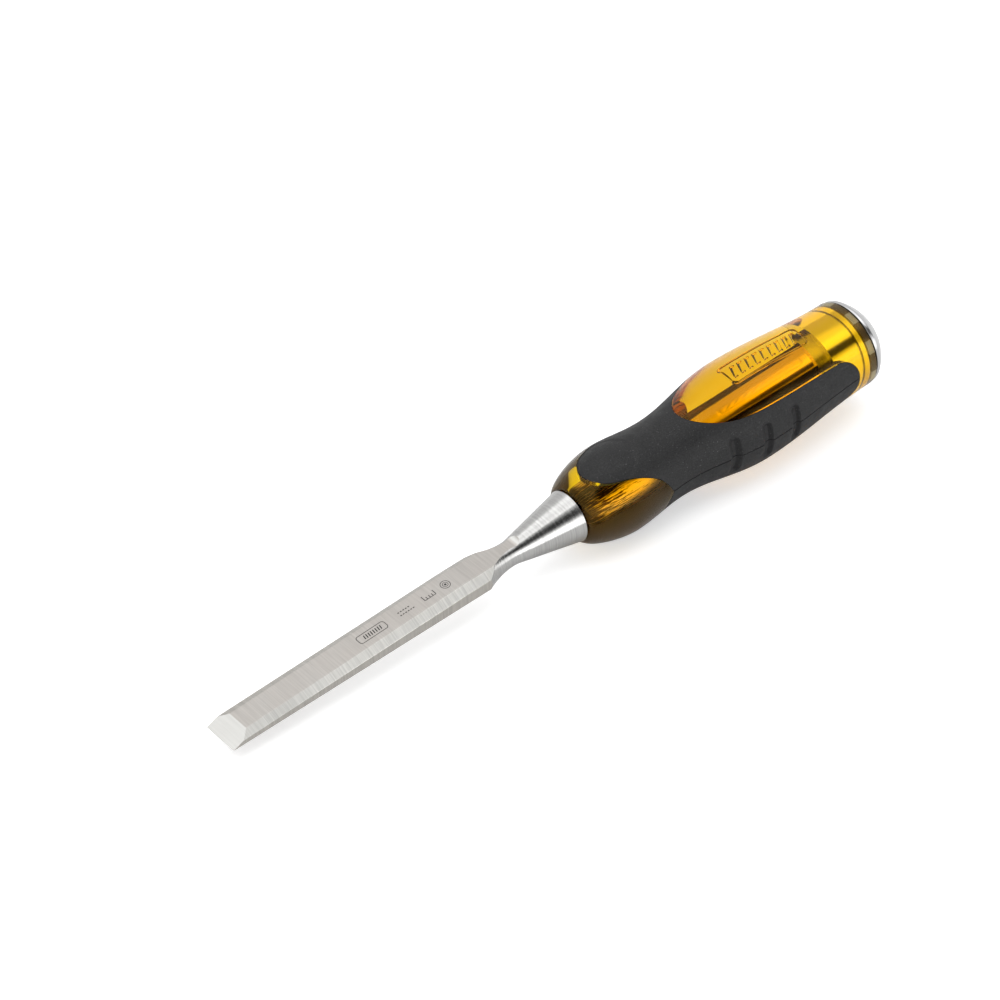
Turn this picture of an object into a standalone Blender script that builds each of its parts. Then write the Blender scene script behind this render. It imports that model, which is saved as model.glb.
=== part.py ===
"""Bench chisel with a through tang: forged blade, clear handle, soft grip and striking cap.

Frame: the origin is the middle of the cutting edge on the flat back of the blade.
+X runs from the cutting edge to the striking cap, +Y to the left and +Z up, with the
flat back of the blade in the plane Z = 0.  The handle is turned about an axis parallel
to X at height AXIS_Z.  All driving dimensions below are in millimetres.
"""

from math import acos, atan2, cos, pi, radians, sin, sqrt, tan

import bmesh
import bpy

MM = 0.001
NAME = "bench_chisel"
CLEARANCE = 0.3          # gap left between neighbouring pieces

# Blade
BLADE_WIDTH = 14.0
EDGE_LAND = 0.1          # height of the square land left at the cutting edge
BEVEL_LENGTH = 7.4       # length of the ground bevel behind the cutting edge
HEEL_THICKNESS = 3.25    # thickness where the bevel ends
FULL_THICKNESS = 6.4     # thickness from the end of the taper to the neck
TAPER_END_X = 97.0       # where the blade reaches its full thickness
TOP_FACE_WIDTH = 8.5     # flat between the two long side bevels
SIDE_HEIGHT_FRONT = 1.8  # height of the upright side face at the cutting edge
SIDE_HEIGHT_BACK = 4.3   # the same at the end of the taper
FACET_END_X = 121.6      # where the flat top runs out on the neck
FACET_RUNOUT = 3.0       # radius of that run-out
BACK_END_X = 112.0       # where the flat back runs out under the neck
BACK_RUNOUT = 22.0

# Neck, bolster and tang, turned about the handle's axis
AXIS_Z = 2.4
NECK_X = 120.0
NECK_RADIUS = 4.4
SHOULDER_SWEEP = 28.0    # radius of the hollow between blade and neck
BOLSTER_SWEEP = 13.0     # radius of the hollow between neck and bolster
BOLSTER_SLOPE = 0.200    # rise of the bolster's cone per unit of length
BOLSTER_END_X = 147.2
BOLSTER_EDGE = 0.5       # rounding of the bolster's rim
FLARE_START_X = 98.0     # ahead of this the blade's section is straight-sided
SECTION_POINTS = (12, 3, 3, 8, 3, 3)   # points on each edge of the blade's section
TANG_RADIUS = 5.0
TANG_START_X = 140.0     # the round tang starts inside the bolster
TANG_END_X = 250.0
TANG_EDGE = 1.0
SPIGOT_RADIUS = 3.4
SPIGOT_END_X = 266.0
SPIGOT_EDGE = 0.6

# Handle: radii at the turning points of its outline
HANDLE_START_X = BOLSTER_END_X + CLEARANCE
HANDLE_NOSE_RADIUS = 9.7
BULB = (166.0, 16.2)
WAIST = (187.5, 14.55)
BELLY = (223.5, 19.05)
TAIL = (272.0, 16.1)
HANDLE_END_X = 273.3
HANDLE_EDGE = 0.4        # flat broken off the handle's rear edge
NOSE_FULLNESS = 1.6      # 2 would be a true ellipse

# Soft grip
GRIP_THICKNESS = 2.2
TONGUE_START_X = 153.3   # front of the top and bottom tongues
TONGUE_NOSE_WIDTH = 6.8
TONGUE_NOSE_LENGTH = 8.0
TONGUE_FLARE = 0.3       # widening per unit of length behind the nose
SIDE_WINDOW_END_X = 180.5
TOP_WINDOW_START_X = 195.8
FLAP_ENTRY_END_X = 216.0
FLAP_ROUND_START_X = 256.0
FLAP_END_X = 265.0
FLAP_HALF_HEIGHT = (12.0, 9.6)     # at the belly and where its end starts to round
FLAP_FALL = 1.6          # 1 would be a straight edge between those two heights
FLAP_FULLNESS = 2.2      # 2 would be a true ellipse at the flap's end
GROOVE_COUNT = 3
GROOVE_FIRST_X = 207.3
GROOVE_PITCH = 13.1
GROOVE_HALF_LENGTH = 8.4
GROOVE_DEPTH = 0.6
GROOVE_SECTION_RADIUS = 3.4

# Name panel in the top window
PANEL_X = (218.0, 252.0)
PANEL_WIDTH = 9.0
PANEL_DEPTH = 0.4
PANEL_CORNER = 1.5

# Cap fastening and striking cap
COLLAR_X = (252.6, 257.6)
COLLAR_RADIUS = 6.8
COLLAR_EDGE = 0.5
WASHER_RADIUS = 14.7
WASHER_START_X = 271.5   # the washer sits in a counterbore in the handle's end
WASHER_STAND = 0.5       # how far the washer stands above the gap at the handle's end
STEM_RADIUS = 10.0
STEM_START_X = 258.0
CAP_RADIUS = 15.75
CAP_RIM_HEIGHT = 0.7
CAP_EDGE = 0.3
STEM_EDGE = 0.6
DRILL_SLOPE = 30.0       # degrees, at the blind end of the cap's bore
DOME_RADIUS = 19.3
BORE_END_X = 267.5

AROUND = 40              # facets round a turned piece
WIDE = 30.0              # reach of a cutter that has to pass the whole handle
DEEP = 40.0


def clear_scene():
    for obj in list(bpy.data.objects):
        bpy.data.objects.remove(obj, do_unlink=True)


def new_collection(name):
    collection = bpy.data.collections.new(name)
    bpy.context.scene.collection.children.link(collection)
    return collection


def material(name, colour, roughness, metallic=0.0, transmission=0.0):
    mat = bpy.data.materials.new(name)
    mat.use_nodes = True
    shader = mat.node_tree.nodes["Principled BSDF"]
    shader.inputs["Base Color"].default_value = (*colour, 1.0)
    shader.inputs["Roughness"].default_value = roughness
    shader.inputs["Metallic"].default_value = metallic
    shader.inputs["Transmission Weight"].default_value = transmission
    return mat


def link(name, mesh, collection):
    obj = bpy.data.objects.new(name, mesh)
    collection.objects.link(obj)
    return obj


def as_cutter(obj):
    obj.hide_render = True
    obj.display_type = "WIRE"
    return obj


def finish(obj, mat):
    obj.data.materials.clear()
    obj.data.materials.append(mat)
    obj.data.shade_smooth()
    obj.data.set_sharp_from_angle(angle=radians(30))
    return obj


def apply_modifiers(obj):
    """Replace an object's mesh with its evaluated one, welded and with faces outwards."""
    graph = bpy.context.evaluated_depsgraph_get()
    mesh = bpy.data.meshes.new_from_object(obj.evaluated_get(graph))
    obj.modifiers.clear()
    obj.data = mesh
    bm = bmesh.new()
    bm.from_mesh(mesh)
    bmesh.ops.remove_doubles(bm, verts=bm.verts, dist=0.00001)
    bmesh.ops.recalc_face_normals(bm, faces=bm.faces)
    bm.to_mesh(mesh)
    bm.free()
    return obj


def boolean(obj, other, operation):
    modifier = obj.modifiers.new(operation.title(), "BOOLEAN")
    modifier.operation = operation
    modifier.solver = "EXACT"
    modifier.object = other
    return apply_modifiers(obj)


def cut(obj, *cutters):
    for cutter in cutters:
        boolean(obj, cutter, "DIFFERENCE")
    return obj


def turned(name, outline, collection, around=AROUND):
    """Turn a closed (x, radius) outline about the handle's axis with a Screw modifier."""
    mesh = bpy.data.meshes.new(name)
    bm = bmesh.new()
    verts = [bm.verts.new((x * MM, 0.0, radius * MM)) for x, radius in outline]
    for first, second in zip(verts, verts[1:] + verts[:1]):
        if first.co.z > 0 or second.co.z > 0:
            bm.edges.new((first, second))
    bm.to_mesh(mesh)
    bm.free()
    obj = link(name, mesh, collection)
    screw = obj.modifiers.new("Turn", "SCREW")
    screw.axis = "X"
    screw.angle = 2 * pi
    screw.steps = around
    screw.render_steps = around
    screw.use_merge_vertices = True
    screw.merge_threshold = 0.00001
    apply_modifiers(obj)
    obj.location = (0.0, 0.0, AXIS_Z * MM)
    return obj


def slab(name, points, half_depth, plane, collection):
    """Extrude a flat outline both ways: plane "XZ" extrudes along Y, "XY" along Z."""
    curve = bpy.data.curves.new(name, "CURVE")
    curve.dimensions = "2D"
    curve.fill_mode = "BOTH"
    curve.extrude = half_depth * MM
    spline = curve.splines.new("POLY")
    spline.points.add(len(points) - 1)
    for point, (u, v) in zip(spline.points, points):
        point.co = (u * MM, v * MM, 0.0, 1.0)
    spline.use_cyclic_u = True
    obj = link(name, curve, collection)
    if plane == "XZ":
        obj.rotation_euler = (pi / 2, 0.0, 0.0)
    return curve_to_mesh(obj, collection)


def curve_to_mesh(obj, collection):
    """Turn a filled curve into a welded mesh object at the same place."""
    bpy.context.view_layer.update()
    graph = bpy.context.evaluated_depsgraph_get()
    mesh = bpy.data.meshes.new_from_object(obj.evaluated_get(graph))
    bm = bmesh.new()
    bm.from_mesh(mesh)
    bmesh.ops.remove_doubles(bm, verts=bm.verts, dist=0.00001)
    bmesh.ops.recalc_face_normals(bm, faces=bm.faces)
    bm.to_mesh(mesh)
    bm.free()
    name = obj.name
    solid = bpy.data.objects.new(name + "_solid", mesh)
    collection.objects.link(solid)
    solid.matrix_world = obj.matrix_world
    bpy.data.objects.remove(obj, do_unlink=True)
    solid.name = name
    return solid


def arc(centre, radius, start, end, steps):
    """Points on a circle, with angles in degrees."""
    for step in range(steps + 1):
        angle = radians(start + (end - start) * step / steps)
        yield (centre[0] + radius * cos(angle), centre[1] + radius * sin(angle))


# ---- Blade, neck, bolster and tang -------------------------------------------------

def neck_radius(x):
    """Radius of the turned hollow and cone between the blade and the bolster's rim."""
    if x < NECK_X:
        return NECK_RADIUS + (NECK_X - x) ** 2 / (2 * SHOULDER_SWEEP)
    sweep_length = BOLSTER_SLOPE * BOLSTER_SWEEP
    if x < NECK_X + sweep_length:
        return NECK_RADIUS + (x - NECK_X) ** 2 / (2 * BOLSTER_SWEEP)
    cone_start = NECK_RADIUS + BOLSTER_SLOPE * sweep_length / 2
    return cone_start + BOLSTER_SLOPE * (x - NECK_X - sweep_length)


def thickness(x):
    """Height of the flat top face, which sweeps up where it runs out on the neck."""
    taper = (FULL_THICKNESS - HEEL_THICKNESS) / (TAPER_END_X - BEVEL_LENGTH)
    if x < TAPER_END_X:
        return HEEL_THICKNESS + taper * (x - BEVEL_LENGTH)
    past = min(max(0.0, x - FACET_END_X), FACET_RUNOUT)
    return FULL_THICKNESS + FACET_RUNOUT - sqrt(FACET_RUNOUT ** 2 - past ** 2)


def back_height(x):
    """Height of the flat back, which sweeps down where it runs out under the neck."""
    past = max(0.0, x - BACK_END_X)
    return -past ** 2 / (2 * BACK_RUNOUT)


def side_height(x):
    share = min(1.0, x / TAPER_END_X)
    return SIDE_HEIGHT_FRONT + (SIDE_HEIGHT_BACK - SIDE_HEIGHT_FRONT) * share


def blade_corners(x):
    """The six corners of the blade's section as (y, z), anticlockwise from below."""
    half = BLADE_WIDTH / 2
    top_half = TOP_FACE_WIDTH / 2
    low = back_height(x)
    side = side_height(x)
    high = thickness(x)
    return [(-half, low), (half, low), (half, side), (top_half, high), (-top_half, high), (-half, side)]


def edge_shares():
    """Where to put points on each edge, so that they are evenly spread round the neck."""
    corners = blade_corners(FLARE_START_X)
    shares = []
    for start, end, count in zip(corners, corners[1:] + corners[:1], SECTION_POINTS):
        first = atan2(start[1] - AXIS_Z, start[0])
        turn = (atan2(end[1] - AXIS_Z, end[0]) - first) % (2 * pi)
        edge = []
        for step in range(count):
            angle = first + turn * step / count
            across = (cos(angle), sin(angle))
            along = (end[0] - start[0], end[1] - start[1])
            offset = (start[0], start[1] - AXIS_Z)
            cross = across[0] * along[1] - across[1] * along[0]
            edge.append((across[1] * offset[0] - across[0] * offset[1]) / cross)
        shares.append(edge)
    return shares


def blade_section(x, shares, radius):
    """The blade's section at x, held inside the turned neck's radius."""
    corners = blade_corners(x)
    section = []
    for start, end, edge in zip(corners, corners[1:] + corners[:1], shares):
        for share in edge:
            y = start[0] + (end[0] - start[0]) * share
            z = start[1] + (end[1] - start[1]) * share - AXIS_Z
            reach = sqrt(y * y + z * z)
            hold = min(1.0, radius / reach)
            section.append((x * MM, y * hold * MM, (AXIS_Z + z * hold) * MM))
    return section


def bolster_section(x, shares, radius):
    """A round section with its points at the same angles as the blade's."""
    flat = blade_section(FLARE_START_X, shares, 1.0)
    return [(x * MM, y * radius, AXIS_Z * MM + (z - AXIS_Z * MM) * radius) for _, y, z in flat]


def blade_sections():
    shares = edge_shares()
    places = [0.0] + stations(FLARE_START_X, FACET_END_X + FACET_RUNOUT, 26)
    sections = [blade_section(x, shares, neck_radius(x)) for x in places]
    rim = neck_radius(BOLSTER_END_X) - BOLSTER_EDGE
    cone_end = BOLSTER_END_X - BOLSTER_EDGE
    cone = [(x, neck_radius(x)) for x in stations(FACET_END_X + FACET_RUNOUT + 5, cone_end - 5, 3)]
    for x, radius in cone + list(arc((cone_end, rim), BOLSTER_EDGE, 80, 0, 3)):
        sections.append(bolster_section(x, shares, radius))
    return sections


def tang_outline():
    outline = [(TANG_START_X, 0.0), (TANG_START_X, TANG_RADIUS)]
    outline += arc((TANG_END_X - TANG_EDGE, TANG_RADIUS - TANG_EDGE), TANG_EDGE, 90, 0, 3)
    outline += [(TANG_END_X, SPIGOT_RADIUS), (SPIGOT_END_X - SPIGOT_EDGE, SPIGOT_RADIUS)]
    outline += [(SPIGOT_END_X, SPIGOT_RADIUS - SPIGOT_EDGE), (SPIGOT_END_X, 0.0)]
    return outline


def loft(name, sections, collection):
    """Join equal-length sections, one after another, into a closed solid."""
    mesh = bpy.data.meshes.new(name)
    bm = bmesh.new()
    loops = [[bm.verts.new(point) for point in section] for section in sections]
    for near, far in zip(loops, loops[1:]):
        for i in range(len(near)):
            j = (i + 1) % len(near)
            bm.faces.new((near[i], near[j], far[j], far[i]))
    bm.faces.new(loops[0])
    bm.faces.new(loops[-1])
    bmesh.ops.recalc_face_normals(bm, faces=bm.faces)
    bm.to_mesh(mesh)
    bm.free()
    return link(name, mesh, collection)


def bevel_cutter(collection):
    """Everything above the ground bevel that leads to the cutting edge."""
    slope = (HEEL_THICKNESS - EDGE_LAND) / BEVEL_LENGTH
    reach = 5.0
    points = [(-reach, EDGE_LAND - slope * reach), (BEVEL_LENGTH, HEEL_THICKNESS)]
    points += [(BEVEL_LENGTH + reach, HEEL_THICKNESS + slope * reach)]
    points += [(-reach, HEEL_THICKNESS + slope * reach)]
    return as_cutter(slab("bevel_cutter", points, BLADE_WIDTH, "XZ", collection))


def make_blade(parts, cutters):
    blade = loft("blade_forging", blade_sections(), parts)
    tang = turned("tang_stock", tang_outline(), cutters)
    boolean(blade, as_cutter(tang), "UNION")
    cut(blade, bevel_cutter(cutters))
    steel = material("satin_tool_steel", (0.62, 0.61, 0.59), 0.32, metallic=1.0)
    return finish(blade, steel)


# ---- Handle and soft grip ------------------------------------------------------------

def blend(x, start, end):
    """Half a cosine wave between two (x, radius) turning points."""
    share = (x - start[0]) / (end[0] - start[0])
    return start[1] + (end[1] - start[1]) * (1 - cos(pi * share)) / 2


def handle_radius(x):
    if x < BULB[0]:
        share = max(0.0, (BULB[0] - x) / (BULB[0] - HANDLE_START_X))
        height = (1 - min(1.0, share) ** NOSE_FULLNESS) ** (1 / NOSE_FULLNESS)
        return HANDLE_NOSE_RADIUS + (BULB[1] - HANDLE_NOSE_RADIUS) * height
    if x < WAIST[0]:
        return blend(x, BULB, WAIST)
    if x < BELLY[0]:
        return blend(x, WAIST, BELLY)
    if x < TAIL[0]:
        return blend(x, BELLY, TAIL)
    return TAIL[1]


def stations(start, end, count):
    """Evenly spaced places along the axis, from start to end."""
    return [start + (end - start) * i / (count - 1) for i in range(count)]


def nose_stations():
    """Places from the nose to the bulb, closer together where the nose is steep."""
    length = BULB[0] - HANDLE_START_X
    return [BULB[0] - length * cos(pi / 2 * i / 7) for i in range(7)]


def handle_outline():
    places = nose_stations() + stations(BULB[0], TAIL[0], 17)
    outline = [(HANDLE_START_X, TANG_RADIUS + CLEARANCE)]
    outline += [(x, handle_radius(x)) for x in places]
    outline += [(HANDLE_END_X - HANDLE_EDGE, TAIL[1]), (HANDLE_END_X, TAIL[1] - HANDLE_EDGE)]
    counterbore = WASHER_RADIUS + CLEARANCE
    stem_bore = STEM_RADIUS + CLEARANCE
    collar_bore = COLLAR_RADIUS + CLEARANCE
    outline += [(HANDLE_END_X, counterbore), (WASHER_START_X - CLEARANCE, counterbore)]
    outline += [(WASHER_START_X - CLEARANCE, stem_bore), (STEM_START_X - CLEARANCE, stem_bore)]
    outline += [(STEM_START_X - CLEARANCE, collar_bore), (COLLAR_X[0] - CLEARANCE, collar_bore)]
    outline += [(COLLAR_X[0] - CLEARANCE, TANG_RADIUS + CLEARANCE)]
    return outline


def grip_shell(name, inner, outer, start, end, collection):
    """A turned shell that follows the handle's outline between two depths."""
    places = [x for x in nose_stations() if x > start] + stations(BULB[0], TAIL[0], 17)
    places = [start] + [x for x in places if start < x < end] + [end]
    outline = [(x, handle_radius(x) + outer) for x in places]
    outline += [(x, handle_radius(x) + inner) for x in reversed(places)]
    return turned(name, outline, collection)


def tongue_half_width(x):
    """Half width of a tongue in plan: a round nose that then flares into the waist."""
    behind = x - TONGUE_START_X
    nose = 1 - min(1.0, behind / TONGUE_NOSE_LENGTH)
    return TONGUE_NOSE_WIDTH * sqrt(1 - nose ** 2) + TONGUE_FLARE * behind


def tongue_cutter(gap, collection):
    """Plan view: all that lies beside the two tongues, ahead of the all-round waist."""
    ahead = TONGUE_START_X - WIDE
    nose_steps = 8
    places = [TONGUE_START_X + TONGUE_NOSE_LENGTH * (1 - cos(pi / 2 * i / nose_steps))
              for i in range(nose_steps)]
    places += stations(TONGUE_START_X + TONGUE_NOSE_LENGTH, SIDE_WINDOW_END_X, 5)
    edge = [(x - gap, tongue_half_width(x) + gap) for x in places]
    edge[0] = (TONGUE_START_X - gap, 0.0)
    points = [(x, -y) for x, y in reversed(edge)] + edge[1:]
    points += [(SIDE_WINDOW_END_X - gap, WIDE), (ahead, WIDE), (ahead, -WIDE)]
    points += [(SIDE_WINDOW_END_X - gap, -WIDE)]
    return as_cutter(slab("tongue_cutter", points, DEEP, "XY", collection))


def flap_height(x):
    """Half height of a side flap, seen from the side."""
    belly, tail = FLAP_HALF_HEIGHT
    start = handle_radius(TOP_WINDOW_START_X)
    if x < FLAP_ENTRY_END_X:
        share = (x - TOP_WINDOW_START_X) / (FLAP_ENTRY_END_X - TOP_WINDOW_START_X)
        return belly + (start - belly) * (1 - share) ** 2
    if x < FLAP_ROUND_START_X:
        share = (x - FLAP_ENTRY_END_X) / (FLAP_ROUND_START_X - FLAP_ENTRY_END_X)
        return belly + (tail - belly) * share ** FLAP_FALL
    share = (x - FLAP_ROUND_START_X) / (FLAP_END_X - FLAP_ROUND_START_X)
    return tail * (1 - min(1.0, share) ** FLAP_FULLNESS) ** (1 / FLAP_FULLNESS)


def flap_cutter(side, gap, collection):
    """Side view: all that lies above (or below) the flaps, behind the waist."""
    places = stations(TOP_WINDOW_START_X, FLAP_ROUND_START_X, 12)
    length = FLAP_END_X - FLAP_ROUND_START_X
    places += [FLAP_ROUND_START_X + length * sin(pi / 2 * i / 8) for i in range(1, 9)]
    behind = FLAP_END_X + WIDE
    points = [(x + gap, side * (flap_height(x) + gap)) for x in places]
    points[-1] = (FLAP_END_X + gap, 0.0)
    points += [(behind, 0.0), (behind, side * DEEP)]
    points += [(TOP_WINDOW_START_X + gap, side * DEEP)]
    cutter = slab("flap_cutter", points, DEEP, "XZ", collection)
    cutter.location.z += AXIS_Z * MM
    return as_cutter(cutter)


def grip_region(name, inner, outer, gap, collection, cutters):
    """The grip's solid, or with a gap and more thickness the recess that it sits in."""
    start = TONGUE_START_X - gap
    shell = grip_shell(name, inner, outer, start, FLAP_END_X + gap, collection)
    cut(shell, tongue_cutter(gap, cutters))
    cut(shell, flap_cutter(1, gap, cutters), flap_cutter(-1, gap, cutters))
    return shell


def groove_cutter(side, index, collection):
    """A ring that leaves one finger groove: deepest on the seam, fading out to its ends."""
    x = GROOVE_FIRST_X + index * GROOVE_PITCH
    surface = handle_radius(x)
    floor = surface - GROOVE_DEPTH
    end_y = sqrt(surface ** 2 - GROOVE_HALF_LENGTH ** 2)
    end_gap = floor ** 2 - end_y ** 2 - GROOVE_HALF_LENGTH ** 2
    centre_y = end_gap / (2 * (floor - end_y))
    bpy.ops.mesh.primitive_torus_add(
        major_segments=72,
        minor_segments=14,
        major_radius=(floor - centre_y + GROOVE_SECTION_RADIUS) * MM,
        minor_radius=GROOVE_SECTION_RADIUS * MM,
        location=(x * MM, side * centre_y * MM, AXIS_Z * MM),
        rotation=(0.0, pi / 2, 0.0),
    )
    groove = bpy.context.object
    groove.name = "groove_cutter"
    for owner in list(groove.users_collection):
        owner.objects.unlink(groove)
    collection.objects.link(groove)
    return as_cutter(groove)


def make_grip(parts, cutters):
    grip = grip_region("soft_grip", -GRIP_THICKNESS, 0.0, 0.0, parts, cutters)
    for side in (1, -1):
        for index in range(GROOVE_COUNT):
            cut(grip, groove_cutter(side, index, cutters))
    rubber = material("black_soft_rubber", (0.045, 0.045, 0.047), 0.62)
    return finish(grip, rubber)


def panel_cutter(collection, cutters):
    """A shallow panel that follows the top of the handle, with rounded corners."""
    low, high = PANEL_X
    half = PANEL_WIDTH / 2
    corners = ((high, half, 0), (low, half, 90), (low, -half, 180), (high, -half, 270))
    points = []
    for x, y, angle in corners:
        inward_x = -PANEL_CORNER if x == high else PANEL_CORNER
        inward_y = -PANEL_CORNER if y > 0 else PANEL_CORNER
        points += arc((x + inward_x, y + inward_y), PANEL_CORNER, angle, angle + 90, 3)
    panel = slab("panel_outline", points, DEEP / 2, "XY", collection)
    panel.location.z = (AXIS_Z + DEEP / 2) * MM
    proud = 3.0
    band = grip_shell("panel_band", -PANEL_DEPTH, proud, low - proud, high + proud, cutters)
    boolean(panel, as_cutter(band), "INTERSECT")
    return as_cutter(panel)


def make_handle(parts, cutters):
    handle = turned("handle_body", handle_outline(), parts)
    recess_floor = -(GRIP_THICKNESS + CLEARANCE)
    proud = 2.0
    recess = grip_region("grip_recess", recess_floor, proud, CLEARANCE, cutters, cutters)
    cut(handle, as_cutter(recess), panel_cutter(cutters, cutters))
    amber = material("clear_amber_plastic", (0.95, 0.52, 0.03), 0.08, transmission=0.9)
    return finish(handle, amber)


# ---- Striking end --------------------------------------------------------------------

def make_collar(parts):
    start, end = COLLAR_X
    bore = SPIGOT_RADIUS + CLEARANCE
    shoulder = COLLAR_RADIUS - COLLAR_EDGE
    outline = [(start, bore), (start, shoulder), (start + COLLAR_EDGE, COLLAR_RADIUS)]
    outline += [(end - COLLAR_EDGE, COLLAR_RADIUS), (end, shoulder), (end, bore)]
    steel = material("collar_steel", (0.55, 0.54, 0.52), 0.35, metallic=1.0)
    return finish(turned("tang_collar", outline, parts), steel)


def make_washer(parts):
    start = WASHER_START_X
    end = HANDLE_END_X + CLEARANCE + WASHER_STAND
    bore = STEM_RADIUS + CLEARANCE
    outline = [(start, bore), (start, WASHER_RADIUS), (end, WASHER_RADIUS), (end, bore)]
    fibre = material("dark_washer", (0.03, 0.028, 0.026), 0.7)
    return finish(turned("cap_washer", outline, parts), fibre)


def make_cap(parts):
    rim_start = HANDLE_END_X + WASHER_STAND + 2 * CLEARANCE
    rim_end = rim_start + CAP_RIM_HEIGHT
    dome_centre = rim_end - sqrt(DOME_RADIUS ** 2 - CAP_RADIUS ** 2)
    dome_start = 180 / pi * acos((rim_end - dome_centre) / DOME_RADIUS)
    bore = SPIGOT_RADIUS + CLEARANCE
    outline = [(STEM_START_X, bore), (STEM_START_X, STEM_RADIUS - STEM_EDGE)]
    outline += [(STEM_START_X + STEM_EDGE, STEM_RADIUS), (rim_start, STEM_RADIUS)]
    outline += [(rim_start, CAP_RADIUS - CAP_EDGE), (rim_start + CAP_EDGE, CAP_RADIUS)]
    outline += arc((dome_centre, 0.0), DOME_RADIUS, dome_start, 0, 9)
    outline += [(BORE_END_X + bore * tan(radians(DRILL_SLOPE)), 0.0), (BORE_END_X, bore)]
    steel = material("polished_cap_steel", (0.70, 0.70, 0.69), 0.18, metallic=1.0)
    return finish(turned("strike_cap", outline, parts), steel)


def main():
    clear_scene()
    parts = new_collection(NAME)
    cutters = new_collection(NAME + "_cutters")
    make_blade(parts, cutters)
    make_handle(parts, cutters)
    make_grip(parts, cutters)
    make_collar(parts)
    make_washer(parts)
    make_cap(parts)


main()
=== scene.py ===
"""Looks of the bench chisel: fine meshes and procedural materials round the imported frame.

Lengths are millimetres until a mesh is made; the camera and the bumps are in metres.  The frame's
origin is the middle of the cutting edge, +X runs towards the striking cap and +Z is up through the
bevelled face of the blade.
"""

from math import acos, asin, atan2, cos, degrees, pi, radians, sin, sqrt

import bmesh
import bpy
from mathutils import Matrix, Vector


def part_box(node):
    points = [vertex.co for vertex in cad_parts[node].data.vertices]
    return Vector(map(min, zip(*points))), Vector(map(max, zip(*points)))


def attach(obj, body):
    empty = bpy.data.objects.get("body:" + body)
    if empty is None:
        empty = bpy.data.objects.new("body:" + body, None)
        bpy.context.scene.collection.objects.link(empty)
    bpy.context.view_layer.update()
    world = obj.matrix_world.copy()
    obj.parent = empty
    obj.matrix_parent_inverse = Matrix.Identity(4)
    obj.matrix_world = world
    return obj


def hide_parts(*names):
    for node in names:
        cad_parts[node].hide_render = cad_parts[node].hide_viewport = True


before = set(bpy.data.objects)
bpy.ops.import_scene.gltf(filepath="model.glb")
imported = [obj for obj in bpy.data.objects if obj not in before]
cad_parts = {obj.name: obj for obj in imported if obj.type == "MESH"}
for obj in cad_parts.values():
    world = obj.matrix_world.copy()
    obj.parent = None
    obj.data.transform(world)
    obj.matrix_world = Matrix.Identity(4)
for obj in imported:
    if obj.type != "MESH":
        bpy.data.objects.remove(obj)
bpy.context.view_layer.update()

MM = 0.001


def span(node, axis):
    """The lowest and highest place of a CAD node along one axis, in millimetres."""
    low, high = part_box(node)
    return low[axis] / MM, high[axis] / MM


# ---- Dimensions ------------------------------------------------------------------------

AXIS_Z = sum(span("strike_cap", 2)) / 2
HANDLE_START_X, HANDLE_END_X = span("handle_body", 0)
GRIP_START_X, GRIP_END_X = span("soft_grip", 0)
COLLAR_START_X, COLLAR_END_X = span("tang_collar", 0)
WASHER_START_X, WASHER_END_X = span("cap_washer", 0)
STEM_START_X = span("strike_cap", 0)[0]
TANG_TIP_X = span("blade_forging", 0)[1]
GAP = 0.3                # between neighbouring pieces inside the tool

# Blade
BLADE_HALF_WIDTH = 7.0
EDGE_LAND = 0.1          # thickness left at the cutting edge
BEVEL_LENGTH = 7.4
HEEL_THICKNESS = 3.25    # where the ground bevel ends
FULL_THICKNESS = 6.4
TAPER_END_X = 97.0
TOP_HALF_WIDTH = 4.25
SIDE_HEIGHT_FRONT = 1.8
SIDE_HEIGHT_BACK = 4.3
FACET_END_X = 121.6      # here the top flat starts to run out into the cone
FACET_RUNOUT = 5.0
BACK_END_X = 112.0       # here the flat back starts to curve away
BACK_RUNOUT = 22.0
EDGE_BREAK = 0.06        # width of the tiny flat on each long edge
BEVEL_PAINTED_LIGHT_X = (20.0, 95.0)  # the right bevel's painted reflection changes between these
BEVEL_PAINTED_LIGHT = (0.40, 0.86)
PLAIN_ROWS_X = (12.0, 92.0)   # the straight part, where a few sections are enough
PLAIN_ROW_STEP = 20.0
SHOULDER_ROW_STEP = 0.22

# Neck, bolster and tang
NECK_X = 120.0
NECK_RADIUS = 4.4
SHOULDER_SWEEP = 28.0
BOLSTER_SWEEP = 13.0
BOLSTER_SLOPE = 0.2
BOLSTER_END_X = HANDLE_START_X - GAP
RIM_ROUNDING = 0.5
FLARE_START_X = 98.0     # from here the round part can show beside the ground flats
ROW_ROOM = 0.5           # between the last blade section and the first round one
TANG_RADIUS = 5.0
TANG_FILLET = 0.3
TANG_END_X = 250.0
TANG_ROUNDING = 1.2
TANG_GROOVE_X = TANG_END_X - 2.6
TANG_GROOVE_RADIUS = 0.5
TANG_GROOVE_RISE = 0.15  # the groove's centre lies this far outside the tang
TANG_PLAIN_END_X = TANG_END_X - 3.4
SPIGOT_RADIUS = 3.4
SPIGOT_CHAMFER = 0.6
SCALE_FADE_X = (178.0, 200.0)      # the tang's dark scale fades out between these
STREAKS_WIDEN_X = (152.0, 172.0)   # the bright streaks in it get wider between these
ROUND_SHARE = 0.992      # a face this near the round outline is polished, not ground

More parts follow.
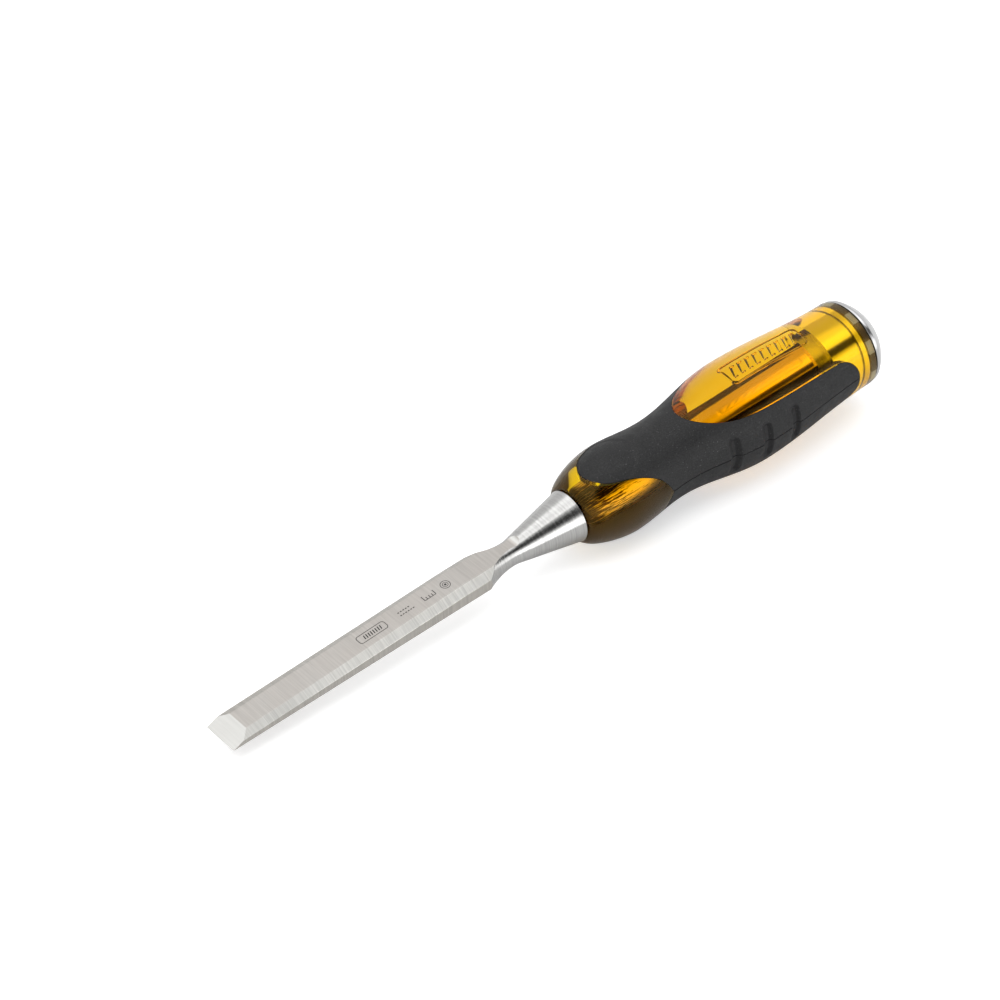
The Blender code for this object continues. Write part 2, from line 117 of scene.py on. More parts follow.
# Generic marks on the top of the blade
MARK_RISE = 0.01         # marks stand this much above the steel
MARK_DEPTH = 0.06        # and reach this far into it
MARK_FRAME_X = (56.9, 68.4)
MARK_FRAME_HALF_WIDTH = 1.75
MARK_FRAME_CORNER = 1.0
MARK_FRAME_LINE = 0.26
STROKES_START_X = 59.4
STROKE_PITCH = 0.96
STROKE_COUNT = 8
STROKE_HALF_LENGTH = 0.9
STROKE_SLANT = 0.3
BOLD_LINE = 0.42
DASHES_START_X = 74.0
DASH_PITCH = 1.05
DASH_LENGTH = 0.62
DASH_ROWS = ((0.75, 5), (-0.75, 6))         # (y, number of dashes)
TICKS_START_X = 84.2
TICK_PITCH = 1.15
TICK_FOOT_Y = -1.1
TICK_LENGTHS = (2.2, 1.2, 1.2, 1.2, 2.2)
TICK_LINE = 0.3
TICK_BASE_LINE = 0.24
RINGS_X = 93.6
RINGS = ((1.7, 0.24), (0.95, 0.2), (0.25, 0.4))   # (radius, width of line)

# Handle outline: (x, radius) at its turning points
NOSE_RADIUS = 9.7
NOSE_FULLNESS = 1.6
BULB = (166.0, 16.2)
WAIST = (187.5, 14.55)
BELLY = (223.5, 19.05)
TAIL = (272.0, 16.1)
END_ROUNDING = 0.4

# Windows in the grip
RUBBER_DEPTH = 2.2
RECESS_DEPTH = 2.45
BONDED_START_X = 156.0   # the rubber clings to the plastic from here
BONDED_END_X = 192.0     # to here
WINDOW_GAP = 0.05        # between the rubber's edge and the recess's wall
TONGUE_NOSE_WIDTH = 6.8
TONGUE_NOSE_LENGTH = 8.0
TONGUE_FLARE = 0.3
SIDE_WINDOW_END_X = 180.5
SIDE_WINDOW_CLOSE = 5.0  # length over which a side window rounds off
TOP_WINDOW_START_X = 195.8
FLAP_ENTRY_END_X = 216.0
FLAP_ROUND_START_X = 256.0
FLAP_BELLY_HEIGHT = 12.0
FLAP_TAIL_HEIGHT = 9.6
FLAP_TAPER_POWER = 1.6
FLAP_ROUND_POWER = 2.2   # above 2, so the flap's end is squarer than an ellipse

# Finger grooves, seam and thumb pad of the grip
GROOVES_X = (206.9, 220.1, 233.0)
GROOVE_RADIUS = 2.3
GROOVE_HALF_LENGTH = 8.4
GROOVE_DEPTH = 1.5
GROOVE_LEAN = 0.25       # share of the depth lost from the rear to the middle, and again in front
GROOVE_WALL = 0.75       # share of the radius over which the wall drops
SEAM_DEPTH = 0.45
SEAM_HALF_WIDTH = 0.2
RUBBER_EDGE = 0.3        # rounding of the rubber's edges
PAD_CENTRE_X = 163.0
PAD_HALF_LENGTH = 11.2
PAD_HALF_WIDTH = 11.0
PAD_DEPTH = 0.22
PAD_RIM = (1.04, 0.08)   # where the pad's rim starts and how wide it is, as shares of its size

# Panel in the top window: a thin frame line and a row of slanted bars, cut into the plastic
PANEL_START_X = 218.0
PANEL_END_X = 252.0
PANEL_HALF_WIDTH = 4.5
PANEL_ZONE = 5.4         # half width of the finely meshed strip that holds it
PANEL_CORNER = 1.6
PANEL_LINE_DEPTH = 0.26
PANEL_LINE_HALF_WIDTH = 0.12
PANEL_LINE_FADE = 0.32   # width of the line's sloping side
BAR_PITCH = 3.4
BAR_DEPTH = 0.24
BAR_SLANT = 0.45
BAR_HALF_WIDTH = 0.55
BAR_HALF_LENGTH = 2.1
BAR_FADE = 0.4
BAR_MARGIN = 2.6         # free of bars at each end of the frame
BAR_MARGIN_FADE = 0.5

# Striking end
COLLAR_RADIUS = 6.8
COLLAR_ROUNDING = 0.5
STEM_RADIUS = 10.0
STEM_ROUNDING = 0.6
STEM_FILLET = 0.4
STEM_PAINTED_TINT_END_X = 272.4    # the stem gets a painted tint of amber light up to here, inside the washer
WASHER_RADIUS = 14.7
WASHER_CHAMFER = 0.15
COUNTERBORE_X = WASHER_START_X - GAP
CLINGING_RADIUS = 12.9   # outside this the washer clings to the plastic
CAP_RADIUS = 15.75
RIM_LIP = 0.5            # how far the cap's rim reaches over the washer
RIM_EDGE = 0.25          # rounding of the rim's front edge
RIM_HEIGHT = 0.7
DOME_RADIUS = 19.3
BORE_END_X = 267.5
DRILL_POINT = 2.0        # length of the bore's cone
POCKET_PITCH = 45.0      # degrees between the lighter pockets of the washer
FIRST_POCKET = 105.0
POCKET_EDGE = (10.0, 8.0)    # degrees from a pocket's middle: dark outside, light inside

# Mesh
AROUND = 128             # facets round a turned piece
ROWS = 36                # faces across a quarter of the handle
STRIP_ROWS = 20          # of those, the ones across the panel's half of the strip
GRIP_ROWS = 44           # faces across a quarter of the grip
HIDDEN_ROWS = 12         # faces across a quarter where handle and grip hide each other
HANDLE_ROW_STEP = 0.6
PANEL_ROW_STEP = 0.3
EDGE_ROWS = ((0.08, 0.08), (0.2, 0.16), (0.32, 0.24))   # (distance in, largest share of a row)
FACE_ROOM = 0.1          # room when a face is told by where its middle lies


# ---- Mesh helpers ------------------------------------------------------------------------

def stations(start, end, step):
    """Evenly spaced places from start to end, about one step apart."""
    count = max(1, round((end - start) / step))
    return [start + (end - start) * i / count for i in range(count + 1)]


def smooth(value):
    """0 below 0, 1 above 1, and an even S curve between them."""
    value = min(1.0, max(0.0, value))
    return value * value * (3 - 2 * value)


def polar(x, angle, radius):
    """A point on the handle's surface; the angle is in radians from +Y towards +Z."""
    return (x, radius * cos(angle), AXIS_Z + radius * sin(angle))


def arc(centre, radius, start, end, steps):
    """Points on a circle, with angles in degrees."""
    angles = [radians(start + (end - start) * i / steps) for i in range(steps + 1)]
    return [(centre[0] + radius * cos(a), centre[1] + radius * sin(a)) for a in angles]


def mesh_from_grids(name, grids, sharp=32.0, caps=()):
    """Weld grids of points into one mesh object.  A cap is a loop of points to be filled."""
    bm = bmesh.new()
    for grid in grids:
        rows = [[bm.verts.new([c * MM for c in point]) for point in row] for row in grid]
        for near, far in zip(rows, rows[1:]):
            for i in range(len(near) - 1):
                bm.faces.new((near[i], near[i + 1], far[i + 1], far[i]))
    for cap in caps:
        bm.faces.new([bm.verts.new([c * MM for c in point]) for point in cap])
    bmesh.ops.remove_doubles(bm, verts=bm.verts, dist=2e-6)
    bmesh.ops.recalc_face_normals(bm, faces=bm.faces)
    mesh = bpy.data.meshes.new(name)
    bm.to_mesh(mesh)
    bm.free()
    mesh.shade_smooth()
    mesh.set_sharp_from_angle(angle=radians(sharp))
    obj = bpy.data.objects.new(name, mesh)
    bpy.context.scene.collection.objects.link(obj)
    return obj


def turned_grid(outline, around=AROUND):
    """An (x, radius) outline turned about the handle's axis, as a closed grid."""
    turns = [2 * pi * i / around for i in range(around)] + [0.0]
    return [[polar(x, turn, radius) for turn in turns] for x, radius in outline]


def place(obj, material, slot, *nodes):
    """Give a piece its material, hang it under the root and hide the CAD nodes that it stands for."""
    obj.data.materials.append(material)
    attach(obj, "root")
    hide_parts(*nodes)
    return obj


# ---- Blade, neck, bolster and tang -------------------------------------------------------

def neck_radius(x):
    """Radius of the round part: a curved shoulder, the neck and the bolster's cone."""
    if x < NECK_X:
        return NECK_RADIUS + (NECK_X - x) ** 2 / (2 * SHOULDER_SWEEP)
    sweep = BOLSTER_SLOPE * BOLSTER_SWEEP
    if x < NECK_X + sweep:
        return NECK_RADIUS + (x - NECK_X) ** 2 / (2 * BOLSTER_SWEEP)
    return NECK_RADIUS + BOLSTER_SLOPE * sweep / 2 + BOLSTER_SLOPE * (x - NECK_X - sweep)


def top_height(x):
    """Height of the blade's top flat over its back, up to where it runs out into the cone."""
    taper = (FULL_THICKNESS - HEEL_THICKNESS) / (TAPER_END_X - BEVEL_LENGTH)
    if x < TAPER_END_X:
        return HEEL_THICKNESS + taper * (x - BEVEL_LENGTH)
    past = min(max(0.0, x - FACET_END_X), FACET_RUNOUT)
    return FULL_THICKNESS + FACET_RUNOUT - sqrt(FACET_RUNOUT ** 2 - past ** 2)


def blade_corners(x):
    """The blade's section as (y, height above the axis), with each long edge broken."""
    low = -max(0.0, x - BACK_END_X) ** 2 / (2 * BACK_RUNOUT) - AXIS_Z
    rise = (SIDE_HEIGHT_BACK - SIDE_HEIGHT_FRONT) * min(1.0, x / TAPER_END_X)
    side = SIDE_HEIGHT_FRONT + rise - AXIS_Z
    high = top_height(x) - AXIS_Z
    half = BLADE_HALF_WIDTH
    corners = [(-half, low), (half, low), (half, side), (TOP_HALF_WIDTH, high)]
    corners += [(-TOP_HALF_WIDTH, high), (-half, side)]
    broken = []
    for i, (y, z) in enumerate(corners):
        for other in (corners[i - 1], corners[(i + 1) % 6]):
            length = sqrt((other[0] - y) ** 2 + (other[1] - z) ** 2)
            share = EDGE_BREAK / length
            broken.append((y + (other[0] - y) * share, z + (other[1] - z) * share))
    return broken


def held_edge(start, end, radius, counts):
    """Points along an edge, held inside a circle, with points exactly where it crosses."""
    dy, dz = end[0] - start[0], end[1] - start[1]
    length = dy * dy + dz * dz
    foot = -(start[0] * dy + start[1] * dz) / length
    reach = start[0] ** 2 + start[1] ** 2 - foot * foot * length
    half = sqrt(max(0.0, radius * radius - reach) / length)
    first, last = (min(1.0, max(0.0, foot + side * half)) for side in (-1, 1))
    places = []
    bounds = (0.0, first, last, 1.0)
    for low, high, count in zip(bounds, bounds[1:], counts):
        places += [low + (high - low) * i / count for i in range(count)]
    points = []
    for share in places:
        y, z = start[0] + dy * share, start[1] + dz * share
        hold = min(1.0, radius / sqrt(y * y + z * z))
        points.append((y * hold, z * hold))
    return points


# Points along each edge of the section (back, side, bevel, top, bevel, side): on the arc before
# the flat, on the flat and on the arc after it
SECTION_COUNTS = ((22, 6, 22), (5, 4, 5), (5, 4, 5), (14, 8, 14), (5, 4, 5), (5, 4, 5))


def blade_section(x):
    """The blade's section at x, held inside the round outline of the neck and the cone."""
    corners = blade_corners(x)
    radius = neck_radius(x)
    points = []
    for i in range(6):
        before, start, end = corners[2 * i], corners[2 * i + 1], corners[(2 * i + 2) % 12]
        points += held_edge(before, start, radius, (1, 1, 1))
        points += held_edge(start, end, radius, SECTION_COUNTS[i])
    points.append(points[0])
    return [(x, y, AXIS_Z + z) for y, z in points]


def round_section(x, radius, angles):
    return [polar(x, angle, radius) for angle in angles]


def round_end_outline(start):
    """The (x, radius) outline from the cone over the bolster's rim and the tang to its tip."""
    rim = neck_radius(BOLSTER_END_X) - RIM_ROUNDING
    cone_end = BOLSTER_END_X - RIM_ROUNDING
    fillet = (BOLSTER_END_X + TANG_FILLET, TANG_RADIUS + TANG_FILLET)
    rounding_centre = (TANG_END_X - TANG_ROUNDING, TANG_RADIUS - TANG_ROUNDING)
    outline = [(x, neck_radius(x)) for x in stations(start, cone_end - ROW_ROOM, 1.0)]
    outline += arc((cone_end, rim), RIM_ROUNDING, 78, 0, 6)
    outline += arc(fillet, TANG_FILLET, 180, 270, 3)
    outline += [(x, TANG_RADIUS) for x in stations(BOLSTER_END_X + 1, TANG_PLAIN_END_X, 2.0)]
    outline += arc((TANG_GROOVE_X, TANG_RADIUS + TANG_GROOVE_RISE), TANG_GROOVE_RADIUS, 200, 340, 6)
    outline += arc(rounding_centre, TANG_ROUNDING, 90, 0, 6)
    outline += [(TANG_END_X, SPIGOT_RADIUS), (TANG_TIP_X - SPIGOT_CHAMFER, SPIGOT_RADIUS)]
    outline += [(TANG_TIP_X, SPIGOT_RADIUS - SPIGOT_CHAMFER)]
    return outline


def blade_grid():
    """The whole forging as one long grid, from the cutting edge to the tip of the tang."""
    swept_end = FACET_END_X + FACET_RUNOUT + ROW_ROOM
    grid = [blade_section(x) for x in [0.0] + stations(*PLAIN_ROWS_X, PLAIN_ROW_STEP)]
    grid += [blade_section(x) for x in stations(TAPER_END_X, swept_end, SHOULDER_ROW_STEP)]
    angles = [atan2(z - AXIS_Z, y) for _, y, z in grid[-1]]
    outline = round_end_outline(swept_end + ROW_ROOM)
    grid += [round_section(x, radius, angles) for x, radius in outline]
    return grid


def cut_ground_bevel(obj):
    """Cut the long grid with the plane of the ground bevel and fill the cut."""
    slope = (HEEL_THICKNESS - EDGE_LAND) / BEVEL_LENGTH
    bm = bmesh.new()
    bm.from_mesh(obj.data)
    result = bmesh.ops.bisect_plane(
        bm,
        geom=bm.verts[:] + bm.edges[:] + bm.faces[:],
        dist=1e-7,
        plane_co=(0.0, 0.0, EDGE_LAND * MM),
        plane_no=(-slope, 0.0, 1.0),
        clear_outer=True,
    )
    cut_edges = [e for e in result["geom_cut"] if isinstance(e, bmesh.types.BMEdge)]
    bmesh.ops.edgeloop_fill(bm, edges=cut_edges)
    bmesh.ops.recalc_face_normals(bm, faces=bm.faces)
    bm.to_mesh(obj.data)
    bm.free()
    obj.data.shade_smooth()
    obj.data.set_sharp_from_angle(angle=radians(12))


def make_blade(ground, polished, tang):
    grid = blade_grid()
    blade = mesh_from_grids("blade", [grid], 20.0, caps=(grid[0][:-1], grid[-1][:-1]))
    cut_ground_bevel(blade)
    place(blade, ground, "blade_steel", "blade_forging")
    blade.data.materials.append(polished)
    blade.data.materials.append(tang)
    for face in blade.data.polygons:
        face.material_index = blade_face_kind(face)
    return blade


def blade_face_kind(face):
    """0 for the ground flats, 1 for the polished neck and bolster, 2 for the tang."""
    x, y, z = (c / MM for c in face.center)
    if x > BOLSTER_END_X - 0.05:
        return 2
    reach = sqrt(y * y + (z - AXIS_Z) ** 2)
    return int(x > FLARE_START_X and reach > ROUND_SHARE * neck_radius(x))


def stroke(path, width, closed=False):
    """A dark line let into the top of the blade: a thin bar swept along a path of (x, y)."""
    grid = []
    for i, (x, y) in enumerate(path):
        before = path[i - 1] if i or closed else path[0]
        after = path[(i + 1) % len(path)] if closed or i + 1 < len(path) else path[-1]
        dx, dy = after[0] - before[0], after[1] - before[1]
        length = sqrt(dx * dx + dy * dy)
        nx, ny = -dy / length * width / 2, dx / length * width / 2
        section = []
        for side, rise in ((1, MARK_RISE), (1, -MARK_DEPTH), (-1, -MARK_DEPTH), (-1, MARK_RISE)):
            place_x = x + side * nx
            section.append((place_x, y + side * ny, top_height(place_x) + rise))
        grid.append(section + section[:1])
    if closed:
        grid.append(grid[0])
    return grid


def rounded_frame(start, end, half_width, corner):
    """A closed path round a rectangle with round corners."""
    path = []
    for x, y, turn in (
        (end - corner, half_width - corner, 0),
        (start + corner, half_width - corner, 90),
        (start + corner, corner - half_width, 180),
        (end - corner, corner - half_width, 270),
    ):
        path += arc((x, y), corner, turn, turn + 90, 6)
    return path


def etched_lines():
    """The straight marks as (path, width): slanted strokes, two rows of dashes and a tick scale."""
    lines = []
    for i in range(STROKE_COUNT):
        x = STROKES_START_X + STROKE_PITCH * i
        path = [(x, -STROKE_HALF_LENGTH), (x + STROKE_SLANT, STROKE_HALF_LENGTH)]
        lines.append((path, BOLD_LINE))
    for y, count in DASH_ROWS:
        for i in range(count):
            x = DASHES_START_X + DASH_PITCH * i
            lines.append(([(x, y), (x + DASH_LENGTH, y)], BOLD_LINE))
    for i, length in enumerate(TICK_LENGTHS):
        x = TICKS_START_X + TICK_PITCH * i
        lines.append(([(x, TICK_FOOT_Y), (x, TICK_FOOT_Y + length)], TICK_LINE))
    ticks_end = TICKS_START_X + TICK_PITCH * (len(TICK_LENGTHS) - 1)
    base = [(TICKS_START_X, TICK_FOOT_Y), (ticks_end, TICK_FOOT_Y)]
    return lines + [(base, TICK_BASE_LINE)]


def etched_loops():
    """The closed marks as (path, width): the frame round the strokes, and the rings."""
    frame_path = rounded_frame(*MARK_FRAME_X, MARK_FRAME_HALF_WIDTH, MARK_FRAME_CORNER)
    loops = [(frame_path, MARK_FRAME_LINE)]
    for radius, width in RINGS:
        loops.append((arc((RINGS_X, 0.0), radius, 0, 360, 32)[:-1], width))
    return loops


def make_marks(material):
    """Plain generic marks on the top of the blade, as thin bars let into the steel."""
    grids = [stroke(path, width) for path, width in etched_lines()]
    caps = [grid[i][:-1] for grid in grids for i in (0, -1)]
    grids += [stroke(path, width, closed=True) for path, width in etched_loops()]
    marks = mesh_from_grids("marks", grids, caps=caps)
    marks.data.materials.append(material)
    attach(marks, "root")
    return marks


# ---- Handle and grip ---------------------------------------------------------------------

def wave(x, start, end):
    """Half a cosine wave between two (x, radius) turning points."""
    share = (x - start[0]) / (end[0] - start[0])
    return start[1] + (end[1] - start[1]) * (1 - cos(pi * share)) / 2


def handle_radius(x):
    """Radius of the handle's outline: a blunt nose, then waves between its turning points."""
    if x < BULB[0]:
        share = min(1.0, max(0.0, (BULB[0] - x) / (BULB[0] - HANDLE_START_X)))
        height = (1 - share ** NOSE_FULLNESS) ** (1 / NOSE_FULLNESS)
        return NOSE_RADIUS + (BULB[1] - NOSE_RADIUS) * height
    for start, end in ((BULB, WAIST), (WAIST, BELLY), (BELLY, TAIL)):
        if x < end[0]:
            return wave(x, start, end)
    return TAIL[1]


def tongue_half_width(x):
    """Half width of the rubber tongue on the bulb, which starts round and widens slowly."""
    behind = max(0.0, x - GRIP_START_X)
    nose = 1 - min(1.0, behind / TONGUE_NOSE_LENGTH)
    return TONGUE_NOSE_WIDTH * sqrt(1 - nose ** 2) + TONGUE_FLARE * behind


def flap_height(x):
    """Height over the side seam of the flap beside the top window."""
    start = handle_radius(TOP_WINDOW_START_X)
    if x < FLAP_ENTRY_END_X:
        share = (x - TOP_WINDOW_START_X) / (FLAP_ENTRY_END_X - TOP_WINDOW_START_X)
        return FLAP_BELLY_HEIGHT + (start - FLAP_BELLY_HEIGHT) * (1 - share) ** 2
    if x < FLAP_ROUND_START_X:
        share = (x - FLAP_ENTRY_END_X) / (FLAP_ROUND_START_X - FLAP_ENTRY_END_X)
        return FLAP_BELLY_HEIGHT + (FLAP_TAIL_HEIGHT - FLAP_BELLY_HEIGHT) * share ** FLAP_TAPER_POWER
    share = (x - FLAP_ROUND_START_X) / (GRIP_END_X - FLAP_ROUND_START_X)
    return FLAP_TAIL_HEIGHT * (1 - min(1.0, share) ** FLAP_ROUND_POWER) ** (1 / FLAP_ROUND_POWER)


def rubber_span(x, gap=0.0):
    """Where the rubber starts and ends in one quarter, as angles from the side seam.

    With a gap the span grows by that length, for the recess that the rubber sits in.
    """
    radius = handle_radius(x)
    quarter = pi / 2
    if x <= GRIP_START_X:
        return quarter, quarter
    if x < SIDE_WINDOW_END_X:
        low = acos(min(1.0, tongue_half_width(x) / radius))
        closing = (x - SIDE_WINDOW_END_X + SIDE_WINDOW_CLOSE) / SIDE_WINDOW_CLOSE
        low *= sqrt(1 - max(0.0, closing) ** 2)
        return max(0.0, low - gap / radius), quarter
    if x <= TOP_WINDOW_START_X:
        return 0.0, quarter
    high = asin(min(1.0, flap_height(x) / radius))
    if high <= 0.0:
        return 0.0, 0.0
    return 0.0, min(quarter, high + gap / radius)


def handle_stations():
    """Places along the handle, closer together where a window or the nose is blunt."""
    end = HANDLE_END_X - END_ROUNDING
    fine_start, fine_end = PANEL_START_X - 2, PANEL_END_X + 2
    places = stations(HANDLE_START_X, fine_start, HANDLE_ROW_STEP)
    places += stations(fine_start, fine_end, PANEL_ROW_STEP)
    places += stations(fine_end, end, HANDLE_ROW_STEP)
    blunt = ((HANDLE_START_X, 6.0), (GRIP_START_X, 5.0), (SIDE_WINDOW_END_X, -5.0))
    blunt += ((TOP_WINDOW_START_X, 6.0), (GRIP_END_X, -5.0))
    for x, reach in blunt:
        places += [x + reach * (i / 15) ** 2 for i in range(16)]
    kept = []
    for x in sorted(places):
        if not kept or x - kept[-1] > 0.004:
            kept.append(x)
    return kept


def mirrored(quarter, relief=None):
    """Turn one quarter's grid of (x, angle, radius) into four grids of points."""
    grids = []
    for side in (1, -1):
        for up in (1, -1):
            grid = []
            for row in quarter:
                points = []
                for x, angle, radius in row:
                    y, z = side * cos(angle), up * sin(angle)
                    depth = relief(x, y * radius, z * radius) if relief else 0.0
                    points.append((x, y * (radius - depth), AXIS_Z + z * (radius - depth)))
                grid.append(points)
            grids.append(grid)
    return grids


def panel_relief(x, y, z):
    """Depth cut into the top of the handle for the panel's frame line and its bars."""
    half_length = (PANEL_END_X - PANEL_START_X) / 2
    if z < 0 or abs(y) > PANEL_ZONE or abs(x - PANEL_START_X - half_length) > half_length + 1:
        return 0.0
    along = abs(x - PANEL_START_X - half_length) - half_length + PANEL_CORNER
    across = abs(y) - PANEL_HALF_WIDTH + PANEL_CORNER
    outside = sqrt(max(0.0, along) ** 2 + max(0.0, across) ** 2)
    edge = outside + min(0.0, max(along, across)) - PANEL_CORNER
    frame_line = 1 - smooth((abs(edge) - PANEL_LINE_HALF_WIDTH) / PANEL_LINE_FADE)
    slanted = x - PANEL_START_X - BAR_SLANT * y
    local = abs((slanted + BAR_PITCH / 2) % BAR_PITCH - BAR_PITCH / 2)
    bar = 1 - smooth((local - BAR_HALF_WIDTH) / BAR_FADE)
    bar *= 1 - smooth((abs(y) - BAR_HALF_LENGTH) / BAR_FADE)
    inside = smooth((half_length - BAR_MARGIN - abs(slanted - half_length)) / BAR_MARGIN_FADE)
    return PANEL_LINE_DEPTH * frame_line + BAR_DEPTH * bar * inside


def between(x, low, high, radius, count):
    """A row of (x, angle, radius), evenly spaced between two angles."""
    return [(x, low + (high - low) * i / count, radius) for i in range(count + 1)]


def handle_skin():
    """One quarter of the handle's outside, with the recess that the rubber sits in.

    Returns the outside below the rubber, above it and under the panel, then the recess's floor
    and its lower and upper wall.
    """
    places = handle_stations()
    spans = [rubber_span(x, WINDOW_GAP) for x in places]
    nose_end = next(i for i, (low, _) in enumerate(spans) if low == 0.0)
    tail_start = max(i for i, (_, high) in enumerate(spans) if high == pi / 2)
    lower, upper, strip, floor, low_wall, high_wall = [], [], [], [], [], []
    for i, (x, (low, high)) in enumerate(zip(places, spans)):
        radius = handle_radius(x)
        sunk = radius - RECESS_DEPTH
        if i <= nose_end:
            lower.append(between(x, 0.0, low, radius, ROWS))
        if i >= tail_start:
            edge = max(high, acos(min(1.0, PANEL_ZONE / radius)))
            upper.append(between(x, high, edge, radius, ROWS - STRIP_ROWS))
            strip.append(between(x, edge, pi / 2, radius, STRIP_ROWS))
        if GRIP_START_X <= x <= GRIP_END_X:
            floor.append(between(x, low, high, sunk, HIDDEN_ROWS))
            wall = [sunk + RECESS_DEPTH * k / 3 for k in range(4)]
            if i <= nose_end:
                low_wall.append([(x, low, r) for r in wall])
            if i >= tail_start:
                high_wall.append([(x, high, r) for r in wall])
    return lower, upper, strip, floor, low_wall, high_wall


def handle_end_outline():
    """The (x, radius) outline of the handle's end: its edge, the counterbore and the bores."""
    edge_centre = (HANDLE_END_X - END_ROUNDING, TAIL[1] - END_ROUNDING)
    outline = arc(edge_centre, END_ROUNDING, 90, 0, 5)
    outline += [(HANDLE_END_X, WASHER_RADIUS + GAP), (COUNTERBORE_X, WASHER_RADIUS + GAP)]
    outline += [(COUNTERBORE_X, CLINGING_RADIUS), (COUNTERBORE_X, STEM_RADIUS + GAP)]
    outline += [(STEM_START_X - GAP, STEM_RADIUS + GAP), (STEM_START_X - GAP, COLLAR_RADIUS + GAP)]
    outline += [(COLLAR_START_X - GAP, COLLAR_RADIUS + GAP), (COLLAR_START_X - GAP, TANG_RADIUS + GAP)]
    return outline


def tang_bore(first, last):
    """The bore for the tang, whose rows turn from the nose's angles to those of the end."""
    places = stations(HANDLE_START_X, COLLAR_START_X - GAP, 4.0)
    grid = []
    for i, x in enumerate(places):
        share = i / (len(places) - 1)
        angles = [a + (b - a) * share for a, b in zip(first, last)]
        grid.append([(x, angle, TANG_RADIUS + GAP) for angle in angles])
    return grid


def make_handle(*materials):
    """The clear handle; its materials are in the order that handle_face_kind counts them."""
    lower, upper, strip, floor, low_wall, high_wall = handle_skin()
    first = [angle for _, angle, _ in lower[0]]
    last = [angle for _, angle, _ in upper[-1]] + [angle for _, angle, _ in strip[-1][1:]]
    end = [[(x, angle, radius) for angle in last] for x, radius in handle_end_outline()]
    bore = tang_bore(first, last)
    front = [[(HANDLE_START_X, angle, NOSE_RADIUS) for angle in first], bore[0]]
    grids = mirrored(strip, panel_relief)
    for quarter in (lower, upper, floor, low_wall, high_wall, end, bore, front):
        grids += mirrored(quarter)
    handle = mesh_from_grids("handle", grids, 35.0)
    place(handle, materials[0], "clear_handle_plastic", "handle_body")
    for material in materials[1:]:
        handle.data.materials.append(material)
    for face in handle.data.polygons:
        face.material_index = handle_face_kind(face)
    return handle


def handle_face_kind(face):
    """0 clear plastic, 1 bonded to rubber, 2 to the washer, 3 the tang, 4 the collar, 5 the stem."""
    x, y, z = (c / MM for c in face.center)
    radius = sqrt(y * y + (z - AXIS_Z) ** 2)
    around_axis = abs(face.normal.x) < 0.5
    room = GAP + FACE_ROOM
    if x > COUNTERBORE_X - FACE_ROOM and CLINGING_RADIUS < radius < WASHER_RADIUS + room:
        return 2
    if around_axis and radius < STEM_RADIUS + room and x > STEM_START_X - GAP:
        return 5
    if around_axis and radius < COLLAR_RADIUS + room and x > COLLAR_START_X - GAP:
        return 4
    if around_axis and radius < TANG_RADIUS + room:
        return 3
    return int(BONDED_START_X < x < BONDED_END_X and radius < handle_radius(x) - FACE_ROOM)


def rounding(distance):
    """How far a rounded edge has dropped, at a distance in from the edge."""
    share = 1 - min(1.0, distance / RUBBER_EDGE)
    return RUBBER_EDGE * (1 - sqrt(1 - share ** 2))


def grip_relief(x, y, z):
    """Depth of the finger grooves on both sides and of the oval thumb pads."""
    angle = atan2(abs(z), abs(y))
    radius = sqrt(y * y + z * z)
    depth = 0.0
    for centre in GROOVES_X:
        past = max(0.0, angle * radius - GROOVE_HALF_LENGTH + GROOVE_RADIUS)
        away = sqrt((x - centre) ** 2 + past ** 2) / GROOVE_RADIUS
        if away < 1:
            lean = 1 - GROOVE_LEAN + GROOVE_LEAN * (x - centre) / GROOVE_RADIUS
            depth = max(depth, GROOVE_DEPTH * lean * smooth((1 - away) / GROOVE_WALL))
    across = (pi / 2 - angle) * radius / PAD_HALF_WIDTH
    along = (x - PAD_CENTRE_X) / PAD_HALF_LENGTH
    away = sqrt(across ** 2 + along ** 2)
    return depth + PAD_DEPTH * smooth((PAD_RIM[0] - away) / PAD_RIM[1])


def edge_spacing(length):
    """Shares of a row of this length, closer together at both of its ends."""
    close = [0.0] + [min(most, distance / length) for distance, most in EDGE_ROWS]
    count = GRIP_ROWS - 2 * len(EDGE_ROWS)
    middle = [close[-1] + (1 - 2 * close[-1]) * k / count for k in range(1, count)]
    return close + middle + [1 - share for share in reversed(close)]


def rubber_row(x):
    """One row of the rubber's outside across a quarter, with its rounded edges and the seam."""
    low, high = rubber_span(x)
    radius = handle_radius(x)
    length = max(1e-6, (high - low) * radius)
    to_tip = min(x - GRIP_START_X, GRIP_END_X - x)
    row = []
    for share in edge_spacing(length):
        from_low, from_high = share * length, (1 - share) * length
        drop = max(rounding(from_low), rounding(to_tip))
        if x >= SIDE_WINDOW_END_X:
            seam = SEAM_DEPTH * (1 - min(1.0, from_low / SEAM_HALF_WIDTH))
            drop = max(seam, rounding(to_tip))
        if x >= TOP_WINDOW_START_X:
            drop = max(drop, rounding(from_high))
        row.append((x, low + (high - low) * share, radius - drop))
    return row


def make_grip(material):
    outer, inner, low_wall, high_wall = [], [], [], []
    for x in [x for x in handle_stations() if GRIP_START_X <= x <= GRIP_END_X]:
        outer.append(rubber_row(x))
        low, high = rubber_span(x)
        inner.append(between(x, low, high, handle_radius(x) - RUBBER_DEPTH, HIDDEN_ROWS))
        if x <= SIDE_WINDOW_END_X:
            low_wall.append([outer[-1][0], inner[-1][0]])
        if x >= TOP_WINDOW_START_X:
            high_wall.append([outer[-1][-1], inner[-1][-1]])
    grids = mirrored(outer, grip_relief)
    grids += mirrored(inner)
    grids += wall_grids(low_wall) + wall_grids(high_wall)
    grip = mesh_from_grids("grip", grids, 50.0)
    return place(grip, material, "grip_rubber", "soft_grip")


